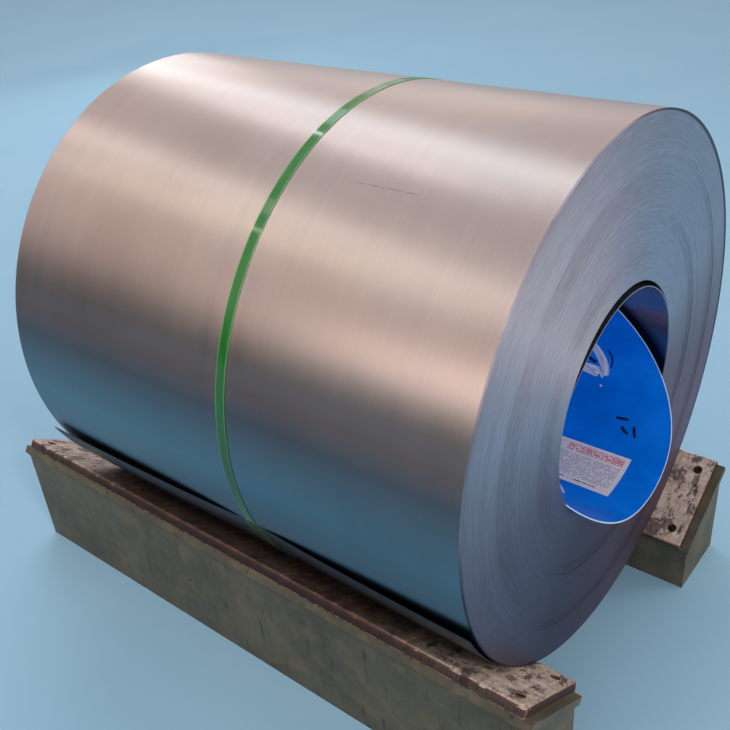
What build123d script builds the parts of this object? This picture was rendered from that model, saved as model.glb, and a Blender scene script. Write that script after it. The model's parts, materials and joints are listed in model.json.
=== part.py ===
"""A steel coil with its strap and bore liner, lying on the two timber-faced rails of a coil saddle.

Millimetres, +Z up. The floor is Z = 0, the coil's axis runs along X, and the origin is on the
floor under the middle of the rails. The end where the liner stands out points to +X, and the
front rail is on the -Y side. Angles round the axis count from the top towards the rear.
"""
import os
from math import cos, degrees, exp, radians, sin

from build123d import *

# The coil
coil_outer_radius = 590.0
coil_bore_radius = 254.0
coil_width = 1270.0
axis_height = 710.0
rim_bevel = 1.5

# Telescoped turns: the share of the wind at which each ring of turns ends, and how far it is set
# back, as a share of the deepest set-back
deepest_setback = 6.0
near_rings = [(0.10, 0.0), (0.40, 0.65), (0.52, 0.25), (0.765, 0.85), (0.95, 0.35), (1.0, 1.0)]
far_rings = [(0.17, 0.5), (0.46, 0.0), (0.85, 0.4), (1.0, 0.15)]

# The strip's free end, which the strap holds down and which springs off the coil beside it
strip_thickness = 2.0
tail_length = 386.0
tail_lift = 16.0
tail_lift_reach = 200.0
tail_root_depth = 1.0
tail_sections = 5

# The strap round the coil
strap_width = 25.0
strap_thickness = 1.0
strap_from_near_face = 570.0
contact_gap = 0.4

# The sheet that is rolled up in the bore: how far it stands out, and how its edge falls back
liner_thickness = 3.0
liner_showing = 77.0
liner_edge_fall = 430.0
liner_edge_power = 1.37
liner_edge_steps = 12
liner_back_inset = 60.0
liner_seam_gap = 8.0
liner_turn = 8.0

# The boards of the two rails
rail_slope = 32.5
board_length = 1600.0
board_width = 250.0
board_thickness = 25.0
board_edge_round = 4.0
coil_from_board_end = 90.0
front_edge_past_contact = 10.0
rear_edge_past_contact = 95.0
strap_dent_margin = 1.0

# The bolt holes of the boards
bolt_head_radius = 11.0
bolt_head_depth = 14.0
bolt_pitch_across = 170.0
bolt_from_board_end = 35.0

# The welded steel bearers under the boards
bearer_plate_thickness = 20.0
bearer_plate_past_board = 18.0
bearer_box_inset = 8.0

# What follows from them
near_face_x = board_length / 2 - coil_from_board_end
far_face_x = near_face_x - coil_width
strap_x = near_face_x - strap_from_near_face
strap_inner_radius = coil_outer_radius + contact_gap
strap_outer_radius = strap_inner_radius + strap_thickness
liner_outer_radius = coil_bore_radius - contact_gap
liner_front_x = near_face_x + liner_showing
liner_back_x = far_face_x + liner_back_inset


def across_axis(x, turn=0.0):
    """The plane across the coil at x, with its centre on the axis, turned about it by an angle."""
    sideways = (0, cos(radians(turn)), sin(radians(turn)))
    return Plane(origin=(x, 0, axis_height), x_dir=sideways, z_dir=(1, 0, 0))


def along_axis(turn=0.0):
    """The upright plane through the coil's axis, turned about it by an angle."""
    forwards = (0, -cos(radians(turn)), -sin(radians(turn)))
    return Plane(origin=(0, 0, axis_height), x_dir=(1, 0, 0), z_dir=forwards)


def across_rail(side):
    """The plane across a rail: its centre is the line that carries the coil, its X runs up the slope."""
    up_slope = Vector(0, side * cos(radians(rail_slope)), sin(radians(rail_slope)))
    off_face = Vector(0, -side * sin(radians(rail_slope)), cos(radians(rail_slope)))
    carrying_line = Vector(0, 0, axis_height) - off_face * (coil_outer_radius + contact_gap)
    return Plane(origin=carrying_line, x_dir=up_slope, z_dir=(side, 0, 0))


def around(radius, angle):
    """A point of a plane across the axis."""
    return (radius * sin(radians(angle)), radius * cos(radians(angle)))


def end_profile(face_x, inwards, rings):
    """The corners of a telescoped end, from the bore to the rim."""
    corners = []
    inner = coil_bore_radius
    for share, setback_share in rings:
        outer = coil_bore_radius + share * (coil_outer_radius - coil_bore_radius)
        ring_x = face_x + inwards * setback_share * deepest_setback
        corners.append((ring_x, inner))
        corners.append((ring_x, outer))
        inner = outer
    return corners


def tail_section(x):
    """The strip's end, cut across at x: its root lies in the turns, and its tip stands off them.

    It rises with the square of its free length, so half way along it has a quarter of its lift.
    """
    lift = tail_lift * (1 - exp(-abs(x - strap_x) / tail_lift_reach))
    root_angle = 180 + rail_slope
    tip_angle = root_angle + degrees(tail_length / coil_outer_radius)
    outer_radius = coil_outer_radius - tail_root_depth
    with BuildSketch(across_axis(x)) as section:
        with BuildLine():
            faces = []
            for radius in (outer_radius, outer_radius - strip_thickness):
                root = around(radius, root_angle)
                middle = around(radius + lift / 4, (root_angle + tip_angle) / 2)
                tip = around(radius + lift, tip_angle)
                faces.append(ThreePointArc(root, middle, tip))
            Line(faces[0] @ 0, faces[1] @ 0)
            Line(faces[0] @ 1, faces[1] @ 1)
        make_face()
    return section.sketch


def liner_edge_point(height):
    """A point of the liner's front edge, seen from the side: height is 0 at its foot, 1 at its top."""
    x = liner_front_x - liner_edge_fall * height**liner_edge_power
    return (x, (2 * height - 1) * liner_outer_radius)


# The coil is one turned solid: its ends are telescoped turns, and the strip's end is lofted onto it
with BuildPart() as steel_coil:
    with BuildSketch(along_axis()) as coil_section:
        with BuildLine():
            near_corners = end_profile(near_face_x, -1, near_rings)
            far_corners = end_profile(far_face_x, 1, far_rings)
            Polyline(*near_corners, *reversed(far_corners), close=True)
        make_face()
        by_radius = coil_section.vertices().group_by(Axis.Y)
        chamfer(by_radius[0] + by_radius[-1], rim_bevel)
    revolve(axis=Axis((0, 0, axis_height), (1, 0, 0)))
    for rim_x in (near_corners[-1][0], far_corners[-1][0]):
        shares = [step / (tail_sections - 1) for step in range(tail_sections)]
        loft([tail_section(strap_x + (rim_x - strap_x) * share) for share in shares])

# The strap is a flat band drawn tight round the turns
with BuildPart() as strap:
    with BuildSketch(across_axis(strap_x)):
        Circle(strap_outer_radius)
        Circle(strap_inner_radius, mode=Mode.SUBTRACT)
    extrude(amount=strap_width / 2, both=True)

# The liner is a sheet rolled to the bore. Its lower edge shows, and its top lies well inside
with BuildPart() as bore_liner:
    with BuildSketch(across_axis(liner_back_x, liner_turn)):
        Circle(liner_outer_radius)
        Circle(liner_outer_radius - liner_thickness, mode=Mode.SUBTRACT)
        with Locations((0, liner_outer_radius)):
            Rectangle(liner_seam_gap, liner_outer_radius, mode=Mode.SUBTRACT)
    extrude(amount=liner_front_x - liner_back_x)
    with BuildSketch(along_axis(liner_turn)):
        with BuildLine():
            heights = [step / liner_edge_steps for step in range(liner_edge_steps + 1)]
            edge = Spline(*[liner_edge_point(height) for height in heights])
            beyond = liner_front_x + liner_edge_fall
            Polyline(edge @ 1, (beyond, liner_outer_radius), (beyond, -liner_outer_radius), edge @ 0)
        make_face()
    extrude(amount=coil_bore_radius, both=True, mode=Mode.SUBTRACT)


def make_board(side, edge_past_contact):
    """A hardwood board that the coil lies on, with the dent that the strap pressed into it."""
    rail = across_rail(side)
    with BuildPart() as board:
        with BuildSketch(rail) as section:
            with Locations((-edge_past_contact, 0)):
                Rectangle(board_width, board_thickness, align=(Align.MIN, Align.MAX))
            fillet(section.vertices().group_by(Axis.Y)[-1], board_edge_round)
        extrude(amount=board_length / 2, both=True)
        with BuildSketch(across_axis(strap_x)):
            Circle(strap_outer_radius + contact_gap)
        extrude(amount=strap_width / 2 + strap_dent_margin, both=True, mode=Mode.SUBTRACT)
        with BuildSketch(Plane(origin=rail.origin, x_dir=rail.x_dir, z_dir=rail.y_dir)):
            with Locations((board_width / 2 - edge_past_contact, 0)):
                with GridLocations(bolt_pitch_across, board_length - 2 * bolt_from_board_end, 2, 2):
                    Circle(bolt_head_radius)
        extrude(amount=-bolt_head_depth, mode=Mode.SUBTRACT)
    return board.part


def make_bearer(side, edge_past_contact):
    """A welded box that stands on the floor, closed by a sloping plate a little larger than the box."""
    rail = across_rail(side)
    plate_end = board_length / 2 + bearer_plate_past_board
    box_reach = (bearer_box_inset - edge_past_contact, board_width - edge_past_contact - bearer_box_inset)
    under_plate = -board_thickness - bearer_plate_thickness
    inner, outer = [rail.from_local_coords(Vector(along, under_plate, 0)) for along in box_reach]
    with BuildPart() as bearer:
        with BuildSketch(rail):
            with Locations((-edge_past_contact, -board_thickness)):
                Rectangle(board_width, bearer_plate_thickness, align=(Align.MIN, Align.MAX))
        extrude(amount=plate_end, both=True)
        with BuildSketch(Plane.YZ):
            with BuildLine():
                Polyline((inner.Y, inner.Z), (outer.Y, outer.Z), (outer.Y, 0), (inner.Y, 0), close=True)
            make_face()
        extrude(amount=plate_end - bearer_box_inset, both=True)
    return bearer.part


pieces = {
    "steel_coil": steel_coil.part,
    "strap": strap.part,
    "bore_liner": bore_liner.part,
    "front_board": make_board(-1, front_edge_past_contact),
    "rear_board": make_board(1, rear_edge_past_contact),
    "front_bearer": make_bearer(-1, front_edge_past_contact),
    "rear_bearer": make_bearer(1, rear_edge_past_contact),
}
os.makedirs("parts", exist_ok=True)
for name, piece in pieces.items():
    piece.label = name
    export_step(piece, f"parts/{name}.step")
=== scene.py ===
# %% [markdown]
# # A coil of cold-rolled steel on its saddle
#
# A steel coil is one long strip wound on itself, here about 8.6 tonnes of it. It lies on two
# timber-faced rails, a plastic strap keeps its tail down, and a blue plastic sheet is rolled up
# in its bore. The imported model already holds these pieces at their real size. This lesson gives
# them their looks, and adds what is too fine for the model: the edges of the turns, the wear of
# the boards, a loose inner lap, a paper label, paint strokes, bolts and weld beads.

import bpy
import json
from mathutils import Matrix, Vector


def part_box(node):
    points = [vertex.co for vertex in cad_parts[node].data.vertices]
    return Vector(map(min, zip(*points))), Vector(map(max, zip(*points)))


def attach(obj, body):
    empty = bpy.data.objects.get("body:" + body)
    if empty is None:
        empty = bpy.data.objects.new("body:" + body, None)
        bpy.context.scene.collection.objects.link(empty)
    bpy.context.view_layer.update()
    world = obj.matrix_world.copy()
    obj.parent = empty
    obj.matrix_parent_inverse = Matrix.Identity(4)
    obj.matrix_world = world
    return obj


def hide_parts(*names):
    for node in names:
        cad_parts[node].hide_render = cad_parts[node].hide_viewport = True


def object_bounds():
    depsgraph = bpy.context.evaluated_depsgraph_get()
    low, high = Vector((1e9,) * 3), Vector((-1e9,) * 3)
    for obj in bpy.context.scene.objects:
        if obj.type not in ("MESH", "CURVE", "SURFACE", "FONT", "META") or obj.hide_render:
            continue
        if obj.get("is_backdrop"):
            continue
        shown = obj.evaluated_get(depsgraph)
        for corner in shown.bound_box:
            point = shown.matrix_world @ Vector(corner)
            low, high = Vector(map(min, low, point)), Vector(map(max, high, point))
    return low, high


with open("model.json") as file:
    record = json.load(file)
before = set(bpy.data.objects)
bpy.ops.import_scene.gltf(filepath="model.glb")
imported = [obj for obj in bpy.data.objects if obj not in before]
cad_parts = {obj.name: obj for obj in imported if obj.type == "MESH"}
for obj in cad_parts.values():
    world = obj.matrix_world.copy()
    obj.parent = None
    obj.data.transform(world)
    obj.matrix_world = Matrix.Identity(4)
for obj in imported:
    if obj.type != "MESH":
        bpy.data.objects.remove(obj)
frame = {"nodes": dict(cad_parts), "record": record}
cad_low, cad_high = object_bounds()
print("pieces in the model:", ", ".join(sorted(frame["nodes"])))

# %% Blender's own modules
import json
import math
import random

import bmesh
import bpy
from mathutils import Matrix, Vector, noise

# %% [markdown]
# ## Places on the coil
#
# Almost everything here lies on or in a cylinder, so a point is easiest to name by its distance
# from the coil's axis, its angle round it and its place along it. Angles count from the top
# towards the rear, so 180 is the bottom and 270 the front. The coil's own sizes are read from the
# model, so the looks follow it. A length that can't be read from it is written in millimetres.

# %% Sizes of the coil and its liner
MM = 0.001
coil_low, coil_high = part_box("steel_coil")
liner_low, liner_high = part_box("bore_liner")
strap_low, strap_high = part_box("strap")
bore_mount = next(mount for mount in frame["record"]["mounts"] if mount["name"] == "bore")

coil_radius = (coil_high.z - coil_low.z) / 2
axis_height = (coil_high.z + coil_low.z) / 2
near_face_x = coil_high.x
far_face_x = coil_low.x
strap_x = (strap_low.x + strap_high.x) / 2
liner_wall_radius = bore_mount["dims"]["r_mm"] * MM
contact_gap = 0.4 * MM
bore_radius = (liner_high.y - liner_low.y) / 2 + contact_gap
wind = coil_radius - bore_radius
liner_turn = 8
liner_showing = 77 * MM
liner_edge_fall = 430 * MM
liner_edge_power = 1.37
print(f"coil {2 * coil_radius:.3f} m across, bore {2 * bore_radius:.3f} m, wind {wind:.3f} m")


# %% A point near the coil
def around(radius, degrees, x):
    """The point at a radius and an angle about the coil's axis, x metres along it."""
    angle = math.radians(degrees)
    return Vector((x, radius * math.sin(angle), axis_height + radius * math.cos(angle)))


print("top of the near face:", around(coil_radius, 0, near_face_x))

# %% [markdown]
# ## The camera
#
# The photograph looks down at the coil from its front and near side. A camera could be placed by
# eye, but a cylinder shows every degree that is wrong. So the lens and the place were worked out
# from the outlines of the coil and its bore, whose real sizes are known. The picture is square,
# so the lens is given for a sensor as wide as it is high.

# %% Make the camera
camera_place = Vector((1.3573, -1.5346, 1.8140))
camera_yaw = 2.2869
camera_pitch = -0.5470
camera_roll = 0.0914
camera_lens = 45.54

looking = Vector((
    math.cos(camera_pitch) * math.cos(camera_yaw),
    math.cos(camera_pitch) * math.sin(camera_yaw),
    math.sin(camera_pitch),
))
level_right = looking.cross(Vector((0, 0, 1))).normalized()
level_down = looking.cross(level_right)
right = level_right * math.cos(camera_roll) + level_down * math.sin(camera_roll)
down = level_down * math.cos(camera_roll) - level_right * math.sin(camera_roll)
camera = bpy.data.objects.new("camera", bpy.data.cameras.new("camera"))
camera.data.sensor_width = 36
camera.data.sensor_fit = "HORIZONTAL"
camera.data.lens = camera_lens
turn = Matrix((right, -down, -looking)).transposed()
camera.matrix_world = Matrix.Translation(camera_place) @ turn.to_4x4()
bpy.context.scene.collection.objects.link(camera)
bpy.context.scene.camera = camera
print("camera at", camera_place, "lens", camera_lens)

# %% [markdown]
# ## Colours and shader nodes
#
# A colour is written as the sRGB hex value that a picture editor shows, and one function turns
# it into the linear numbers that Blender's sockets take. One more function adds any shader node:
# its settings, its values and its links, and the stops of a colour ramp. A pattern on the coil or
# the rails has its size given in millimetres, which is turned into the scale of a Mapping node.


# %% Small helpers for materials
def linear(colour):
    """An sRGB hex colour as linear red, green, blue and alpha."""
    shares = [int(colour[at:at + 2], 16) / 255 for at in (1, 3, 5)]
    return [s / 12.92 if s <= 0.04045 else ((s + 0.055) / 1.055) ** 2.4 for s in shares] + [1]


def per_mm(*sizes):
    """Scales for a pattern of these sizes in millimetres. It doesn't change along a size of 0."""
    return [1000 / size if size else 0 for size in sizes]


def add(material, kind, inputs=None, stops=None, result=None, **settings):
    """Adds a shader node and returns its first result in use, or the one that is named, or all.

    An input that is given a socket is linked to it, and any other input is set.
    """
    node = material.node_tree.nodes.new("ShaderNode" + kind)
    for name, value in settings.items():
        setattr(node, name, value)
    sockets = [socket for socket in node.inputs if socket.enabled]
    for name, value in (inputs or {}).items():
        socket = sockets[name] if isinstance(name, int) else next(s for s in sockets if s.name == name)
        if isinstance(value, bpy.types.NodeSocket):
            material.node_tree.links.new(value, socket)
        else:
            socket.default_value = value
    if stops:
        ramp = node.color_ramp.elements
        while len(ramp) < len(stops):
            ramp.new(1)
        for element, (place, colour) in zip(ramp, stops):
            element.position = place
            element.color = linear(colour)
    results = [socket for socket in node.outputs if socket.enabled]
    return results if result == "all" else next(s for s in results if result in (None, s.name))


def start_material(name, **finish):
    """A new material with the values that are the same all over."""
    material = bpy.data.materials.new(name)
    material.use_nodes = True
    surface = material.node_tree.nodes["Principled BSDF"]
    for socket, value in finish.items():
        surface.inputs[socket.replace("_", " ")].default_value = value
    return material


def finish_material(material, **patterns):
    """Links patterns to the surface shader."""
    surface = material.node_tree.nodes["Principled BSDF"]
    for socket, value in patterns.items():
        material.node_tree.links.new(value, surface.inputs[socket.replace("_", " ")])
    print(material.name, len(material.node_tree.nodes), "nodes")
    return material


def coil_coordinates(material):
    """A place on the coil as a vector in metres: along the axis, round the coil, and from the axis."""
    here = add(material, "TexCoord", result="Object")
    centred = add(material, "Mapping", {"Vector": here, "Location": (0, 0, -axis_height)})
    along, sideways, up = add(material, "SeparateXYZ", {0: centred}, result="all")
    angle = add(material, "Math", {0: sideways, 1: up}, operation="ARCTAN2")
    unrolled = add(material, "Math", {0: angle, 1: coil_radius}, operation="MULTIPLY")
    across = add(material, "CombineXYZ", {"Y": sideways, "Z": up})
    radius = add(material, "VectorMath", {0: across}, operation="LENGTH")
    return add(material, "CombineXYZ", {"X": along, "Y": unrolled, "Z": radius})


def level_on_coil(material, strip, turned=0):
    """How high a place lies round the coil: 1 at its top, -1 at its bottom.

    A turn in degrees moves the highest place by as much towards the front.
    """
    _, unrolled, _ = add(material, "SeparateXYZ", {0: strip}, result="all")
    angle = {0: unrolled, 1: 1 / coil_radius, 2: math.radians(turned)}
    angle = add(material, "Math", angle, operation="MULTIPLY_ADD")
    return add(material, "Math", {0: angle}, operation="COSINE")


print("mid grey is", [round(share, 3) for share in linear("#808080")])

# %% [markdown]
# A finish is built up as a painter would do it. It starts from one colour. A tint multiplies it,
# as clear oil or shade does: the tones that the pattern goes through. A stain covers it, as dirt
# does: one tone, which grows from nothing to its most between two values of the pattern.


# %% Tints and stains
def tint(material, colour, pattern, stops):
    """The colour, multiplied by the tones that a pattern goes through."""
    tones = add(material, "ValToRGB", {0: pattern}, stops=stops)
    product = {"Factor": 1, "A": colour, "B": tones}
    return add(material, "Mix", product, data_type="RGBA", blend_type="MULTIPLY")


def stain(material, colour, pattern, start, end, most, tone):
    """The colour, covered by a tone where the pattern lies past the start, and most at the end."""
    share = {"Value": pattern, "From Min": start, "From Max": end, "To Min": 0, "To Max": most}
    share = add(material, "MapRange", share)
    return add(material, "Mix", {"Factor": share, "A": colour, "B": linear(tone)}, data_type="RGBA")


print("tints and stains ready")

# %% [markdown]
# ## Cold-rolled steel
#
# The strip was rolled cold between ground rolls and oiled. That gives the eye a satin mirror:
# broad soft reflections, drawn out across the rolling direction, and faint lines along it. Thin
# scratches in a bump could do that too, but they would have to be finer than the picture's dots.
# The rolling direction runs round the coil. So the metal is anisotropic about a tangent that
# circles the X axis, and its patterns are stretched round the coil. Oil and handling leave tints
# and duller patches. Low on the coil the colour is painted darker and bluer, with a darker band
# at its upper edge: painted reflection and painted shade. The free end that springs off the coil
# is tinted a darker purple-grey, which is a painted reflection. Real rolling lines are a tenth of
# a millimetre wide; they are drawn about thirty times as coarse, because finer ones don't show in
# the picture.
#
# Two marks lie at one place only. A dark scuff runs along the coil beside the strap, and the
# bore's wall is painted black, as painted shade, in the corner beside the liner's slanting edge.


# %% Two marks that lie at one place
scuff_angle = -30.5
scuff_half_width = 1.6 * MM
scuff_behind_face = 345 * MM
scuff_half_length = 80 * MM
# the painted shade on the bore's wall: where it is darkest and where it ends
gap_shade_darkest_to = 22 * MM
gap_shade_gone_at = 50 * MM
bore_wall_depth = 4 * MM


def scuff_along_coil(material, strip):
    """How much a thin broken scuff covers, which runs along the coil beside the strap."""
    along, unrolled, _ = add(material, "SeparateXYZ", {0: strip}, result="all")
    on_line = {0: unrolled, 1: math.radians(scuff_angle) * coil_radius, 2: scuff_half_width}
    on_line = add(material, "Math", on_line, operation="COMPARE")
    reach = {0: along, 1: near_face_x - scuff_behind_face, 2: scuff_half_length}
    reach = add(material, "Math", reach, operation="COMPARE")
    breaking = add(material, "Mapping", {"Vector": strip, "Scale": per_mm(16, 3, 0)})
    breaks = add(material, "TexNoise", {"Vector": breaking, "Scale": 1, "Detail": 3})
    rubbed = {"Value": breaks, "From Min": 0.42, "From Max": 0.6, "To Min": 0, "To Max": 0.34}
    rubbed = add(material, "MapRange", rubbed)
    for limit in (on_line, reach):
        rubbed = add(material, "Math", {0: rubbed, 1: limit}, operation="MULTIPLY")
    return rubbed


def painted_shade_by_liner(material, strip):
    """How dark the painted shade is on the bore's wall, in the corner with the liner's slanting edge."""
    along, _, radius = add(material, "SeparateXYZ", {0: strip}, result="all")
    level = level_on_coil(material, strip, liner_turn)
    height = add(material, "Math", {0: level, 1: 0.5, 2: 0.5}, operation="MULTIPLY_ADD")
    fallen = add(material, "Math", {0: height, 1: liner_edge_power}, operation="POWER")
    past_foot = {0: along, 1: near_face_x + liner_showing}
    past_foot = add(material, "Math", past_foot, operation="SUBTRACT")
    past_edge = {0: fallen, 1: liner_edge_fall, 2: past_foot}
    past_edge = add(material, "Math", past_edge, operation="MULTIPLY_ADD")
    gap_shade_amount = {"Value": past_edge, "From Min": gap_shade_gone_at, "From Max": gap_shade_darkest_to, "To Max": 0.93}
    gap_shade_amount = add(material, "MapRange", gap_shade_amount)
    in_bore = add(material, "Math", {0: radius, 1: bore_radius + bore_wall_depth}, operation="LESS_THAN")
    return add(material, "Math", {0: gap_shade_amount, 1: in_bore}, operation="MULTIPLY")


# the old oil in this print is the painted shade on the bore's wall
print("scuff and old oil ready")

# %% The face of the strip
face_tints = {
    "lines": [(0.3, "#F9F9F9"), (0.7, "#FFFFFF")],
    "bands": [(0.35, "#FAFAFA"), (0.65, "#FFFFFF")],
    "marks": [(0.68, "#FFFFFF"), (0.76, "#DFDBD9")],
    # painted reflection and painted shade: darker and bluer low on the coil, darkest in a band at its top
    "painted_shading_below": [
        (0.06, "#7FA8C4"),
        (0.3, "#8FC4E0"),
        (0.52, "#94B2C8"),
        (0.68, "#969CAA"),
        (0.82, "#D0B8B8"),
        (1, "#FFFFFF"),
    ],
    # painted reflection: the tail that stands off the coil tinted a darker purple-grey
    "painted_tail_reflection": [(0, "#FFFFFF"), (1, "#8F8591")],
    "scuff": [(0, "#FFFFFF"), (1, "#3C3A44")],
    # painted shade: black on the bore's wall beside the liner's edge
    "painted_gap_shade": [(0, "#FFFFFF"), (1, "#101218")],
}


def strip_face(material, strip):
    """The satin face of the strip: its colour and its roughness."""
    layers = {}
    for layer, sizes, detail, roughness in (
        ("lines", (3, 900, 0), 3, 0.5),
        ("bands", (38, 2600, 0), 2, 0.5),
        ("film", (420, 260, 0), 3, 0.5),
        ("marks", (46, 70, 0), 6, 0.65),
    ):
        where = add(material, "Mapping", {"Vector": strip, "Scale": per_mm(*sizes)})
        spread = {"Vector": where, "Scale": 1, "Detail": detail, "Roughness": roughness}
        layers[layer] = add(material, "TexNoise", spread)
    # how low a place lies round the coil, for the painted reflection and shade
    painted_shading_below = {"Value": level_on_coil(material, strip), "From Min": -0.3, "From Max": 0.4}
    layers["painted_shading_below"] = add(material, "MapRange", painted_shading_below)
    _, _, radius = add(material, "SeparateXYZ", {0: strip}, result="all")
    # the tail that stands off the coil, for its painted reflection
    painted_tail_reflection = {"Value": radius, "From Min": coil_radius + 0.2 * MM, "From Max": coil_radius + 0.6 * MM}
    layers["painted_tail_reflection"] = add(material, "MapRange", painted_tail_reflection)
    layers["scuff"] = scuff_along_coil(material, strip)
    layers["painted_gap_shade"] = painted_shade_by_liner(material, strip)
    oiled = [(0.3, "#B9ABA2"), (0.5, "#C0B3AA"), (0.7, "#BBB1AC")]
    colour = add(material, "ValToRGB", {0: layers["film"]}, stops=oiled)
    for layer, stops in face_tints.items():
        colour = tint(material, colour, layers[layer], stops)
    dull = {"Value": layers["bands"], "From Min": 0.3, "From Max": 0.7, "To Min": 0.31, "To Max": 0.33}
    haze = {"Value": layers["film"], "From Min": 0.3, "From Max": 0.7, "To Min": 0, "To Max": 0.03}
    rough = {0: add(material, "MapRange", dull), 1: add(material, "MapRange", haze)}
    return colour, add(material, "Math", rough, operation="ADD")


print("strip face ready")

# %% [markdown]
# The ends are another surface: hundreds of slit edges side by side, each a dull line. There the
# tone changes with the radius, in fine rings and broad ones. The lower half is painted darker and
# more purple, as painted shade. A dark line is painted under the rim, also as painted shade,
# widest at the rear and thinner below the front. One material serves both surfaces, because the
# coil is one piece: it looks at which way the surface faces.


# %% The edges of the strip
# painted shade: a dark line under the rim, widest at the rear and thinner below the front
rim_painted_shade = ((85, 0, 16 * MM), (222, 0.55, 4.5 * MM))
rim_shade_fade = 2 * MM
edge_tints = {
    "fine": [(0.35, "#EDEDED"), (0.6, "#FFFFFF")],
    "worn": [(0.36, "#F0F0F0"), (0.6, "#FFFFFF")],
    # painted shade: the lower half of an end darker and more purple
    "painted_shading_below": [
        (0.04, "#857887"),
        (0.32, "#B4A8B6"),
        (0.58, "#CBBCC3"),
        (0.86, "#EEE8E5"),
        (1, "#FFFFFF"),
    ],
}


def strip_edges(material, strip):
    """The slit edges on an end: thin rings, a little uneven round the coil, with painted shade under the
    rim.
    """
    layers = {}
    for layer, sizes, detail, roughness in (
        ("fine", (0, 0, 6), 2, 0.5),
        ("broad", (0, 0, 60), 2, 0.5),
        ("worn", (0, 60, 5), 3, 0.6),
    ):
        where = add(material, "Mapping", {"Vector": strip, "Scale": per_mm(*sizes)})
        spread = {"Vector": where, "Scale": 1, "Detail": detail, "Roughness": roughness}
        layers[layer] = add(material, "TexNoise", spread)
    # how low a place lies, for the painted shade on the ends
    painted_shading_below = {"Value": level_on_coil(material, strip), "From Min": -0.9, "From Max": 0.35}
    layers["painted_shading_below"] = add(material, "MapRange", painted_shading_below)
    toned = [(0.3, "#AEABB8"), (0.5, "#B2AFBC"), (0.7, "#B8B4C0")]
    colour = add(material, "ValToRGB", {0: layers["broad"]}, stops=toned)
    for layer, stops in edge_tints.items():
        colour = tint(material, colour, layers[layer], stops)
    rim_shade_widths = []
    for widest, start, most in rim_painted_shade:
        nearness = level_on_coil(material, strip, -widest)
        width = {"Value": nearness, "From Min": start, "From Max": 1, "To Min": 0, "To Max": most}
        rim_shade_widths.append(add(material, "MapRange", width))
    rim_shade_width = add(material, "Math", {0: rim_shade_widths[0], 1: rim_shade_widths[1]}, operation="MAXIMUM")
    _, _, radius = add(material, "SeparateXYZ", {0: strip}, result="all")
    from_rim = add(material, "Math", {0: coil_radius, 1: radius}, operation="SUBTRACT")
    beyond_rim_shade = add(material, "Math", {0: from_rim, 1: rim_shade_width}, operation="SUBTRACT")
    # the dark line under the rim is painted shade
    colour = stain(material, colour, beyond_rim_shade, 0, -rim_shade_fade, 0.85, "#1A2133")
    rough = {"Value": layers["fine"], "From Min": 0.3, "From Max": 0.7, "To Min": 0.43, "To Max": 0.47}
    return colour, add(material, "MapRange", rough)


def make_slit_edges():
    """The edges of cold-rolled strip, as the slitter left them."""
    material = start_material("slit_edges", Metallic=1, Anisotropic=0.75, Anisotropic_Rotation=0.25)
    colour, rough = strip_edges(material, coil_coordinates(material))
    circling = add(material, "Tangent", direction_type="RADIAL", axis="X")
    return finish_material(material, Base_Color=colour, Roughness=rough, Tangent=circling)


def make_cold_rolled_steel():
    """Cold-rolled strip: satin on its face, dull on its slit edges."""
    material = start_material("cold_rolled_steel", Metallic=1, Anisotropic=0.4, Anisotropic_Rotation=0.25)
    strip = coil_coordinates(material)
    face_colour, face_rough = strip_face(material, strip)
    edge_colour, edge_rough = strip_edges(material, strip)
    facing = add(material, "NewGeometry", result="True Normal")
    facing_x = add(material, "SeparateXYZ", {0: facing})
    tilt = add(material, "Math", {0: facing_x}, operation="ABSOLUTE")
    end = add(material, "Math", {0: tilt, 1: 0.6}, operation="GREATER_THAN")
    colour = add(material, "Mix", {"Factor": end, "A": face_colour, "B": edge_colour}, data_type="RGBA")
    rough = add(material, "Mix", {"Factor": end, "A": face_rough, "B": edge_rough})
    circling = add(material, "Tangent", direction_type="RADIAL", axis="X")
    return finish_material(material, Base_Color=colour, Roughness=rough, Tangent=circling)


slit_edges = make_slit_edges()
cold_rolled_steel = make_cold_rolled_steel()

# %% [markdown]
# ## Plastic: the strap and the liner
#
# The strap is extruded polyester, with dull scuffs where it was pulled tight. Its skin is clear
# and glossy over the green, so the gloss is a coat, and a lamp shows on it as one short glint.
# Its two sides are stretched paler than its middle, and its lower part is darkened as painted
# shade. The liner is a thin sheet of solid blue polypropylene, rubbed until it hardly shines. Where
# it was cut the edge is bruised white. That edge could have a material of its own, if its faces were
# picked one by one. The shader finds it by the way it faces instead: the sheet's two sides look at
# the axis or away from it, and the cut edge does neither.


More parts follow.
